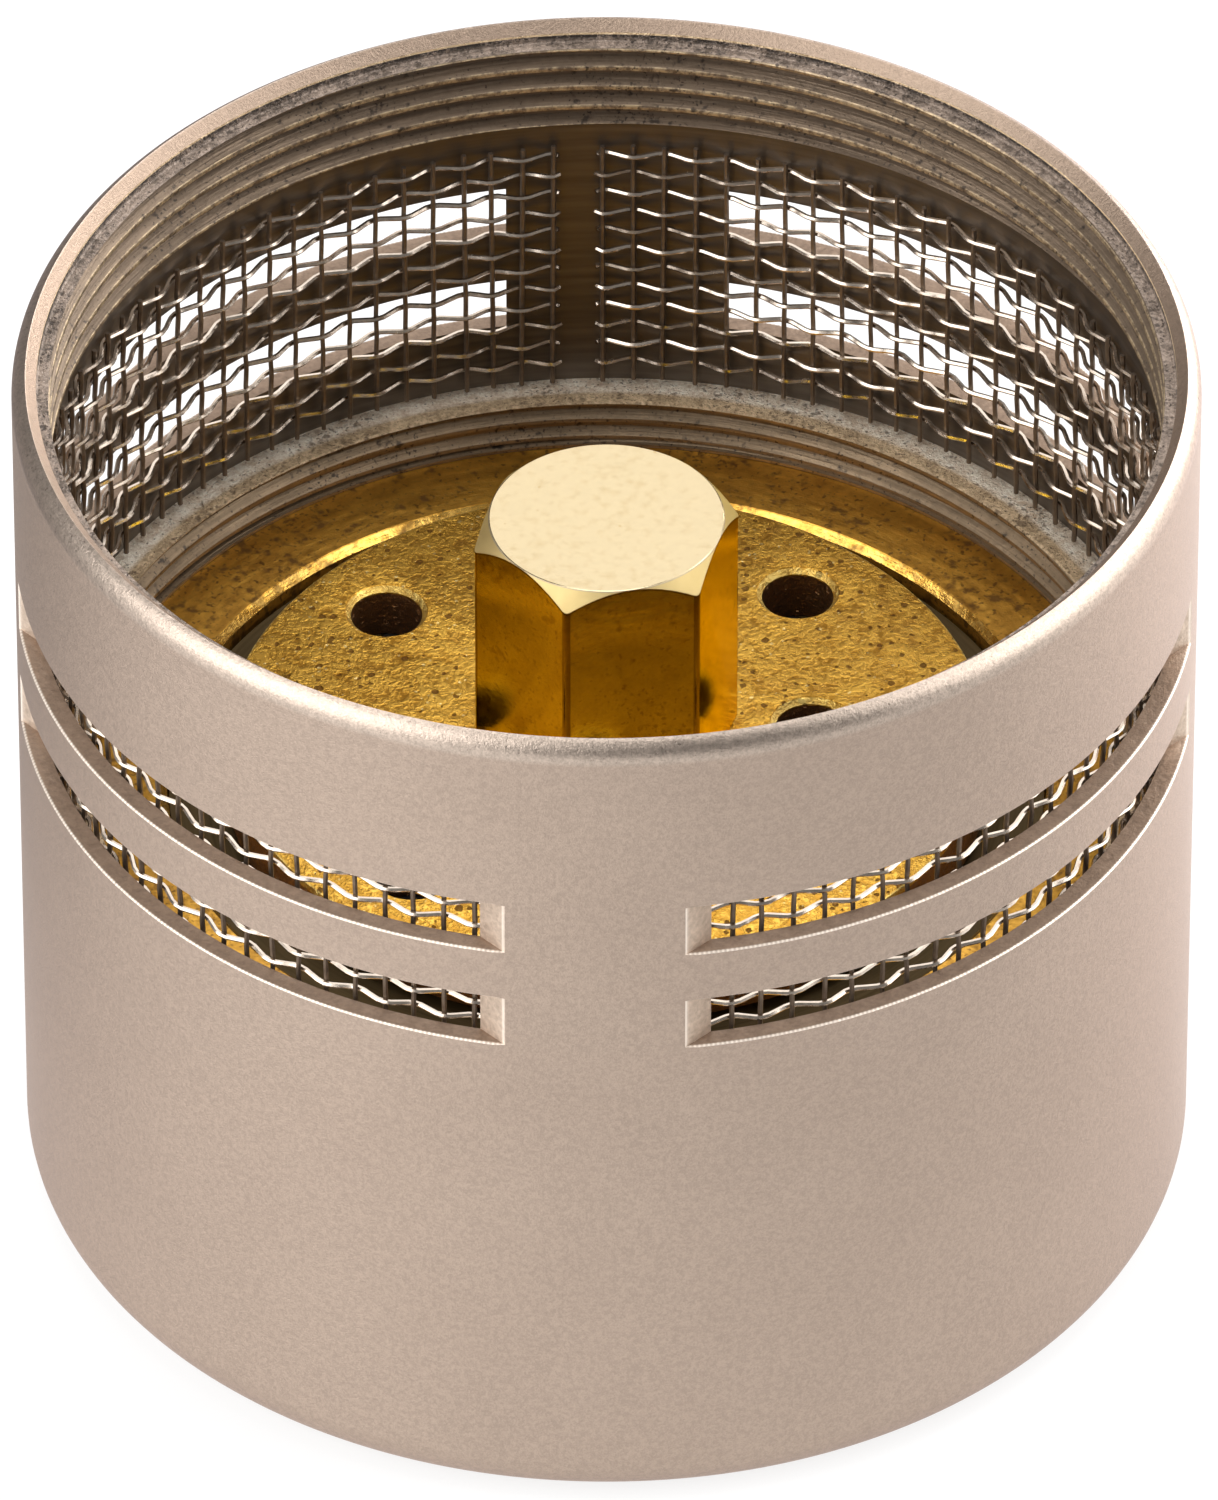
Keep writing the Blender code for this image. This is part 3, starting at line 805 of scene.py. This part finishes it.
def make_pits():
    """Round pits of different sizes, one in some cells of a scattered pattern."""
    group, given, out = new_effect("round_pits", ("Pits",), Per_mm=3.0, Least=0.6, Size=0.8)
    spot = group.place()[0]
    wobble = group.noise(spot, 9.0, 1.0, output="Color")
    pushed = group.add("VectorMath", {"operation": "MULTIPLY_ADD"},
                       i0=wobble, i1=(0.09, 0.09, 0.09), i2=spot).outputs[0]
    cells = group.add("TexVoronoi", Vector=pushed, Scale=given["Per mm"]).outputs
    chance = group.add("SeparateColor", i0=cells["Color"]).outputs[0]
    size = group.times(group.maths("SUBTRACT", chance, given["Least"]), given["Size"])
    depth = group.maths("SUBTRACT", size, cells["Distance"])
    group.fill(out["Pits"], group.maths("MULTIPLY", depth, 14.0, clamp=True))
    return group.tree


GRAIN = make_grain()
TARNISH = make_tarnish()
TURNING = make_turning()
PITS = make_pits()


def satin_nickel():
    """Bead-blasted nickel plate: warm grey, even fine grain, with a smooth bright lead-in."""
    look = Finish("satin_nickel", 0.4, 0.82)
    look.feed(Specular_Tint=(0.78, 0.7, 0.7))
    grain = look.effect(GRAIN, Per_mm=21.0, Roughness=0.75)
    _, radius, _, height = look.place()
    top = housing_top * PER_MM
    rim = rim_radius * PER_MM
    near_top = look.step(height, top - 0.55, top - 0.4)
    on_rim = look.times(near_top, look.step(radius, rim - 0.02, rim + 0.02))
    on_lead_in = look.times(near_top, look.step(radius, rim, rim - 0.03))
    plate = look.blend(grain["Clouds"], (0.48, 0.375, 0.302), (0.434, 0.337, 0.271))
    clean = look.layered(plate, (look.times(on_rim, 0.5), (0.58, 0.49, 0.415)),
                         (on_lead_in, (0.355, 0.263, 0.198)))
    contrast = look.scaled(on_rim, 0.1, 0.2)
    speck = look.scaled(look.maths("ADD", grain["Hard"], -0.5), contrast, 0.98)
    shade = look.add("VectorMath", {"operation": "SCALE"}, i0=clean, Scale=speck)
    rough = look.scaled(grain["Grain"], 0.12, 0.32)
    look.feed(Base_Color=shade.outputs[0], Metallic=look.scaled(on_rim, 0.18, 0.82),
              Roughness=look.scaled(on_rim, -0.07, rough))
    look.bump(look.times(grain["Grain"], look.scaled(on_rim, -0.45, 1.0)), 0.013, 0.9)
    return look.material


def sawn_nickel(name, dark, light):
    """Faces of the saw-cut slots: rough, with the saw's burrs along their outer edges painted as a
    row of bright glints, a painted highlight.
    """
    look = Finish(name, 0.55, 0.7)
    grain = look.effect(GRAIN, Per_mm=9.0)
    _, radius, angle, _ = look.place()
    outer = housing_radius * PER_MM
    on_edge = look.step(radius, outer - 0.07, outer - 0.02)
    # near-white dots along the outer edge: the burrs are real, their brightness is painted
    # highlight
    burr_glints = look.scaled(look.maths("SINE", look.times(angle, BURR_GLINTS_PER_TURN)), 0.28, 0.6)
    sawn = look.blend(grain["Grain"], dark, light)
    look.feed(Base_Color=look.blend(look.times(on_edge, burr_glints), sawn, (1.0, 0.9, 0.8)))
    look.bump(grain["Grain"], 0.02, 0.8)
    return look.material


def turned_nickel():
    """Plain turned metal of the threads: brown flanks, a painted golden highlight on the crests and
    painted shade in the roots.
    """
    look = Finish("turned_nickel", 0.5, 0.65)
    marks = look.effect(TURNING, Per_mm=14.0, Run=4.0)["Marks"]
    spots = look.effect(TARNISH, Per_mm=5.0, Amount=0.52, Patches=0.5)["Spots"]
    grain = look.effect(GRAIN, Per_mm=7.0, Roughness=0.7)
    _, radius, _, height = look.place()
    crest = REAR_THREAD_CREST * PER_MM
    root = REAR_THREAD_ROOT * PER_MM
    thread_end = thread_high * PER_MM - 2.7
    in_rear = look.step(height, thread_end - 0.1, thread_end)
    near_crest = look.times(in_rear, look.step(radius, crest + 0.035, crest + 0.015))
    # darker in the thread's roots: painted shade
    root_shade = look.times(in_rear, look.step(radius, root - 0.09, root - 0.02))
    below_ledge = look.step(height, ledge * PER_MM - 0.01, ledge * PER_MM - 0.03)
    tone = look.both(marks, 0.7, grain["Grain"], 0.3)
    upper = look.blend(tone, (0.095, 0.067, 0.045), (0.295, 0.215, 0.148))
    lower = look.blend(tone, (0.095, 0.067, 0.04), (0.4, 0.285, 0.175))
    # golden line along the thread's crests: painted highlight
    crest_highlight = look.times(near_crest, look.times(grain["Hard"], 0.5))
    dirty = look.layered(look.blend(below_ledge, upper, lower), (crest_highlight, (0.84, 0.65, 0.4)),
                         (look.times(root_shade, 0.4), (0.14, 0.1, 0.07)),
                         (look.times(spots, 0.9), (0.045, 0.034, 0.027)))
    look.feed(Base_Color=dirty, Roughness=look.scaled(marks, -0.16, 0.54))
    look.bump(look.maths("ADD", marks, grain["Grain"]), 0.012, 0.8)
    return look.material


def streaked(name, roughness, metallic, per_mm, run, dark, light, depth, strength):
    """A plain turned surface: two tones in streaks round the axis."""
    look = Finish(name, roughness, metallic)
    marks = look.effect(TURNING, Per_mm=per_mm, Run=run)["Marks"]
    look.feed(Base_Color=look.blend(marks, dark, light))
    look.bump(marks, depth, strength)
    return look


def pocket_nickel_painted_shade():
    """Pocket wall behind the screen: nickel painted dark brown, a painted shade of the recess
    behind the wire.
    """
    return streaked("pocket_nickel_painted_shade", 0.5, 1.0, 6.0, 4.0,
                    (0.115, 0.098, 0.084), (0.22, 0.19, 0.165), 0.006, 0.5).material


def pitted_nickel():
    """Ledge and relief ring: bright rough metal, pitted and packed with grime, with a golden
    painted highlight along the ring's top edge.
    """
    look = Finish("pitted_nickel", 0.6, 0.4)
    grain = look.effect(GRAIN, Per_mm=13.0, Roughness=0.75)
    slow = look.effect(GRAIN, Per_mm=2.5, Roughness=0.7)
    spots = look.effect(TARNISH, Per_mm=5.0, Amount=0.6, Patches=0.8)["Spots"]
    crumbs = look.effect(TARNISH, Per_mm=6.0, Amount=1.05, Patches=0.7)["Spots"]
    _, radius, _, height = look.place()
    edge = relief_top * PER_MM
    outer = pocket_radius * PER_MM
    under_rim = look.step(height, edge - 0.22, edge - 0.09)
    # thin golden line along the relief ring's top edge: painted highlight
    on_edge = look.step(height, edge - 0.06, edge - 0.045)
    above_ledge = look.step(height, ledge * PER_MM + 1.0, ledge * PER_MM + 2.0)
    tone = look.both(grain["Hard"], 0.6, slow["Hard"], 0.4)
    inner_band = look.blend(tone, (0.3, 0.205, 0.115), (0.76, 0.57, 0.36))
    outer_band = look.blend(tone, (0.62, 0.47, 0.33), (1.0, 0.93, 0.8))
    on_ledge = look.blend(look.step(radius, outer - 0.56, outer - 0.4), inner_band, outer_band)
    on_relief = look.blend(tone, (0.09, 0.067, 0.05), (0.44, 0.345, 0.28))
    metal = look.blend(above_ledge, on_ledge, on_relief)
    spotted = look.maths("MAXIMUM", look.times(crumbs, under_rim), look.times(spots, 0.8))
    dirt = look.blend(above_ledge, (0.15, 0.1, 0.06), (0.045, 0.035, 0.03))
    look.feed(Base_Color=look.layered(metal, (spotted, dirt), (on_edge, (0.95, 0.72, 0.46))),
              Roughness=look.scaled(spots, 0.25, 0.45))
    look.bump(look.maths("SUBTRACT", grain["Grain"], spotted), 0.035, 0.9)
    return look.material


def steel_wire(name, dark, light, roughness, edge, metallic):
    """Drawn wire, bright on its polished sides, with a faint brown cast."""
    look = Finish(name, 0.2, metallic)
    grain = look.effect(GRAIN, Per_mm=4.0)["Grain"]
    look.feed(Specular_Tint=(edge, edge, edge), Base_Color=look.blend(grain, dark, light),
              Roughness=look.scaled(grain, 0.2, roughness))
    return look.material


def aged_brass():
    """Turned brass of the cartridge, mottled brown with tool marks and dark spots, with a bright
    painted highlight round its face's bevel.
    """
    look = Finish("aged_brass", 0.38, 0.85)
    marks = look.effect(TURNING, Per_mm=4.0, Run=9.0)["Marks"]
    grain = look.effect(GRAIN, Per_mm=5.0, Roughness=0.7)
    spots = look.effect(TARNISH, Per_mm=3.2, Amount=0.62, Patches=0.6)
    height = look.place()[3]
    top = body_top * PER_MM
    on_bevel = look.times(look.step(height, top - 0.01, top - 0.03),
                          look.step(height, top - 0.2, top - 0.16))
    tone = look.both(marks, 0.65, grain["Grain"], 0.35)
    # bright brass round the face's bevel: painted highlight
    bevel_highlight = look.times(on_bevel, look.scaled(grain["Hard"], 0.6, 0.1))
    mottled = look.layered(look.blend(tone, (0.29, 0.12, 0.013), (1.0, 0.55, 0.085)),
                           (look.times(spots["Stain"], 0.6), (0.24, 0.105, 0.014)),
                           (look.times(spots["Spots"], 0.7), (0.13, 0.06, 0.02)),
                           (bevel_highlight, (1.0, 0.62, 0.15)))
    rough = look.scaled(spots["Stain"], 0.2, 0.3)
    look.feed(Base_Color=mottled, Roughness=look.scaled(on_bevel, -0.12, rough))
    look.bump(tone, 0.022, 0.9)
    return look.material


def matt_brass():
    """The rear disc: brass with a dense fine texture, round pits, flecks and brown stains, painted
    darker in its holes and down its side as shade.
    """
    look = Finish("matt_brass", 0.4, 0.9)
    grain = look.effect(GRAIN, Per_mm=8.0, Roughness=0.75)
    slow = look.effect(GRAIN, Per_mm=1.6, Roughness=0.6)
    stain = look.effect(TARNISH, Per_mm=2.2, Amount=0.45, Patches=0.5)["Stain"]
    pits = look.effect(PITS, Per_mm=4.6, Least=0.36, Size=0.66)["Pits"]
    flecks = look.effect(PITS, Per_mm=8.0, Least=0.7, Size=1.1)["Pits"]
    height = look.place()[3]
    top = disc_top * PER_MM
    foot = top - DISC_HOLE_SINK * PER_MM
    on_sink = look.times(look.step(height, top - 0.01, top - 0.03),
                         look.step(height, foot - 0.02, foot))
    # darker brown in the holes and down the disc's side, below the countersinks: painted shade
    shade_below_sinks = look.step(height, foot - 0.02, foot - 0.05)
    tone = look.both(grain["Hard"], 0.6, slow["Grain"], 0.4)
    brass = look.layered(look.blend(tone, (0.5, 0.235, 0.022), (1.0, 0.595, 0.1)),
                         (look.times(stain, 0.45), (0.4, 0.18, 0.03)),
                         (look.times(pits, 0.8), (0.11, 0.04, 0.01)),
                         (look.times(flecks, 0.7), (1.0, 0.8, 0.36)),
                         (look.times(on_sink, grain["Grain"]), (1.0, 0.8, 0.28)),
                         (shade_below_sinks, (0.34, 0.18, 0.085)))
    look.feed(Base_Color=brass, Roughness=look.scaled(pits, 0.25, 0.34))
    look.bump(look.maths("SUBTRACT", tone, look.times(pits, 1.2)), 0.026, 1.0)
    return look.material


def bright_brass():
    """Polished bar: deep yellow sides with fine specks; the stained end and the rough cone are
    painted paler as their highlight.
    """
    look = Finish("bright_brass", 0.16)
    look.feed(Specular_Tint=(1.0, 0.82, 0.25))
    grain = look.effect(GRAIN, Per_mm=5.0, Roughness=0.7)["Grain"]
    spots = look.effect(TARNISH, Per_mm=4.0, Amount=0.56, Patches=0.6)
    pits = look.effect(PITS, Per_mm=3.0, Least=0.7, Size=0.5)["Pits"]
    marks = look.effect(TURNING, Per_mm=9.0, Run=0.6)["Marks"]
    _, radius, _, height = look.place()
    top = post_top * PER_MM
    top_radius = POST_TOP_RADIUS * PER_MM
    corner = POST_FLATS / math.sqrt(3) * PER_MM
    slope = (corner - top_radius) / (POST_CORNER_CHAMFER * PER_MM)
    below = look.times(look.maths("SUBTRACT", top, height), slope)
    past_cone = look.maths("SUBTRACT", look.maths("SUBTRACT", radius, top_radius), below)
    end_highlight = look.step(height, top - 0.035, top - 0.02)
    on_cone = look.times(look.step(past_cone, -0.028, -0.012),
                         look.step(height, top - 0.006, top - 0.012))
    by_cone = look.times(look.step(past_cone, -0.075, -0.04),
                         look.step(past_cone, -0.018, -0.028))
    bend = math.hypot(POST_FLATS / 2 * PER_MM, corner / 2 - POST_EDGE * PER_MM)
    on_corner = look.step(radius, bend - 0.012, bend)
    # the cone's paler colour is a painted highlight
    sides = look.layered(look.blend(grain, (0.6, 0.4, 0.026), (0.84, 0.6, 0.054)),
                         (look.times(on_corner, 0.75), (0.26, 0.13, 0.01)),
                         (look.times(spots["Spots"], 0.5), (0.3, 0.15, 0.012)),
                         (look.times(by_cone, grain), (0.1, 0.05, 0.01)),
                         (on_cone, (0.69, 0.535, 0.25)))
    # the end's pale, less yellow colour is a painted highlight
    end = look.layered((0.555, 0.452, 0.29),
                       (look.times(spots["Stain"], 0.6), (0.49, 0.372, 0.212)),
                       (look.times(pits, 0.5), (0.45, 0.31, 0.14)))
    rough = look.scaled(grain, 0.1, 0.12)
    look.feed(Base_Color=look.blend(end_highlight, sides, end),
              Roughness=look.scaled(on_cone, 0.36, rough))
    look.bump(look.both(marks, 0.7, grain, 0.6), 0.004, 0.5)
    return look.material


def dark_plastic():
    """Turned dark insulating plastic, dusty brown."""
    look = streaked("black_plastic", 0.6, 0.0, 12.0, 3.0,
                    (0.066, 0.045, 0.019), (0.125, 0.087, 0.042), 0.008, 0.5)
    look.feed(Specular_IOR_Level=0.05)
    return look.material


def pale_plastic(name, colour):
    """Turned pale insulating plastic."""
    darker = tuple(0.9 * part for part in colour)
    return streaked(name, 0.42, 0.0, 10.0, 3.0, darker, colour, 0.006, 0.4).material


def gold_film():
    """Gold-coated film, slightly mottled."""
    look = Finish("gold_film", 0.18)
    clouds = look.effect(GRAIN, Per_mm=3.0)["Clouds"]
    look.feed(Base_Color=look.blend(clouds, (0.92, 0.66, 0.26), (0.98, 0.76, 0.36)))
    return look.material


def black_cloth():
    """Fine acoustic cloth: over-and-under threads, dull black."""
    look = Finish("black_cloth", 0.85, 0.0)
    spot = look.place()[0]
    threads = [look.add("TexWave", {"wave_type": "BANDS", "bands_direction": way},
                        Vector=spot, Scale=14.0, Distortion=0.4).outputs["Fac"] for way in "XY"]
    weave = look.times(*threads)
    look.feed(Base_Color=look.blend(weave, (0.012, 0.012, 0.013), (0.055, 0.054, 0.053)))
    look.bump(weave, 0.02, 0.8)
    return look.material


# ======== putting it together
ROOM_BRIGHTNESS = 0.25
TABLE_GLOW = 0.8
# What the table throws on the object, as shares of its glow: a little more close by, and more
# from the right than from the left, most of all at the back.
FAR_GLOW, NEAR_GLOW_MORE = 0.93, 0.13
FAR_RADIUS, NEAR_RADIUS = 30.0, 12.0  # millimetres from the axis
RIGHT_GLOW_MORE, RIGHT_GLOW_MORE_BEHIND = 0.25, 0.36
RIGHT_PER_MM, BEHIND_PER_MM = 0.05, 0.1
FURTHEST = 1.3  # limit of the last two, either way
# name, azimuth from -Y towards +X, elevation, then metres: distance, width, height; brightness
SOFT_LIGHTS = (
    ("light_behind", 168, 55, 0.6, 0.7, 0.5, 1.55),
    ("light_above", 180, 87, 0.6, 0.34, 0.34, 3.0),
    ("light_left", -60, 30, 0.55, 0.66, 0.64, 3.0),
    ("light_right", 94, 28, 0.55, 0.56, 0.58, 2.9),
    ("light_low_right", 140, 12, 0.55, 0.32, 0.22, 8.0),
)


def place(piece, node_name, slot, finish=None):
    """The detailed piece stands for the solid of that name, and gets a finish if it has none."""
    if finish:
        piece.data.materials.clear()
        piece.data.materials.append(finish)
    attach(piece, "root")
    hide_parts(node_name)


def dress_node(name, finish):
    """A solid that keeps its own shape gets its finish in each of its material slots."""
    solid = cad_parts[name]
    if not solid.material_slots:
        solid.data.materials.append(finish)
    for slot in solid.material_slots:
        slot.material = finish


def aim(thing, place_from, target):
    """Stands a camera or a lamp at a place, looking at the target."""
    stood = bpy.data.objects.new(thing.name, thing)
    bpy.context.scene.collection.objects.link(stood)
    stood.location = place_from
    stood.rotation_euler = (target - place_from).to_track_quat("-Z", "Y").to_euler()
    return stood


def direction(azimuth, elevation):
    """Unit vector towards a place seen at those angles in degrees, from -Y towards +X and up."""
    across, up = math.radians(azimuth), math.radians(elevation)
    return Vector((math.sin(across) * math.cos(up), -math.cos(across) * math.cos(up),
                   math.sin(up)))


def light_table():
    """White, evenly bright to the camera, with an uneven glow on the object."""
    table = Finish("light_table", 0.9, 0.0)
    seen = table.add("LightPath").outputs["Is Camera Ray"]
    spot, radius = table.place()[:2]
    x, y, _ = table.add("SeparateXYZ", i0=spot).outputs

    def held(value):
        return table.maths("MINIMUM", table.maths("MAXIMUM", value, -FURTHEST), FURTHEST)

    right = held(table.times(x, RIGHT_PER_MM))
    behind = held(table.times(y, BEHIND_PER_MM))
    lean = table.scaled(behind, RIGHT_GLOW_MORE_BEHIND, RIGHT_GLOW_MORE)
    near = table.scaled(table.step(radius, FAR_RADIUS, NEAR_RADIUS),
                        TABLE_GLOW * NEAR_GLOW_MORE, TABLE_GLOW * FAR_GLOW)
    uneven = table.scaled(table.times(right, lean), TABLE_GLOW, near)
    glow = table.add("Mix", {"data_type": "FLOAT"}, i0=seen, i2=uneven, i3=TABLE_GLOW)
    table.feed(Base_Color=(0.2, 0.2, 0.2), Emission_Color=(1.0, 1.0, 1.0),
               Emission_Strength=glow.outputs[0])
    return table.material


def floor_and_light():
    """A light table, a broad soft light above and behind, and smaller ones round the sides."""
    deselect()
    bpy.ops.mesh.primitive_plane_add(size=3.0, location=(0, 0, 0))
    floor = bpy.context.object
    floor.name = "floor"
    floor.data.materials.append(light_table())

    world = bpy.data.worlds.new("studio")
    bpy.context.scene.world = world
    world.use_nodes = True
    background = world.node_tree.nodes["Background"]
    background.inputs["Color"].default_value = (1.0, 1.0, 1.0, 1.0)
    background.inputs["Strength"].default_value = ROOM_BRIGHTNESS

    target = Vector((0, 0, 0.012))
    for name, azimuth, elevation, distance, width, height, brightness in SOFT_LIGHTS:
        lamp = bpy.data.lights.new(name, "AREA")
        lamp.shape = "RECTANGLE"
        lamp.size = width
        lamp.size_y = height
        lamp.energy = brightness * math.pi * width * height
        aim(lamp, target + direction(azimuth, elevation) * distance, target)


def stand_camera():
    """A long lens looking down on the rear end, from the front and a little to one side."""
    view = bpy.data.cameras.new("camera")
    view.lens = 508.6
    view.sensor_width = 36.0
    view.shift_x = 0.00162
    view.shift_y = -0.00121
    view.clip_start = 0.01
    view.clip_end = 10.0
    target = Vector((0.0, 0.0, 0.009957))
    bpy.context.scene.camera = aim(view, target + direction(1.1, 39.286) * 0.43321, target)


stand_camera()
floor_and_light()
bpy.context.scene.view_settings.view_transform = "Standard"

place(paint_housing(make_housing()), "housing", "satin_nickel")
# the second wire finish is a darker copy of the first, for the upright wires: painted shade
wires = (
    steel_wire("steel_wire", (0.46, 0.385, 0.32), (0.84, 0.72, 0.6), 0.12, 0.9, 1.0),
    steel_wire("wire_painted_shade", (0.115, 0.086, 0.064), (0.25, 0.19, 0.14), 0.3, 0.6, 0.6),
)
brass = aged_brass()
cloth = black_cloth()
place(make_side_screen(wires), "side_screen", "steel_wire")
place(make_front_screen(wires), "front_screen", "steel_wire")
place(make_body(), "capsule_body", "aged_brass", brass)
place(make_insulator(), "rear_insulator", "black_plastic", dark_plastic())
place(make_disc(), "rear_disc", "matt_brass", matt_brass())
place(make_post(), "contact_post", "bright_brass", bright_brass())

for name in ("clamp_collar", "tension_ring", "backplate", "spacer_bush", "centre_stud"):
    dress_node(name, brass)
dress_node("screen_ring", turned_nickel())
dress_node("dust_screen", cloth)
dress_node("damping_disc", cloth)
dress_node("diaphragm", gold_film())
dress_node("spacer_ring", pale_plastic("clear_film", (0.8, 0.79, 0.75)))
dress_node("backplate_insulator", pale_plastic("white_plastic", (0.82, 0.81, 0.77)))
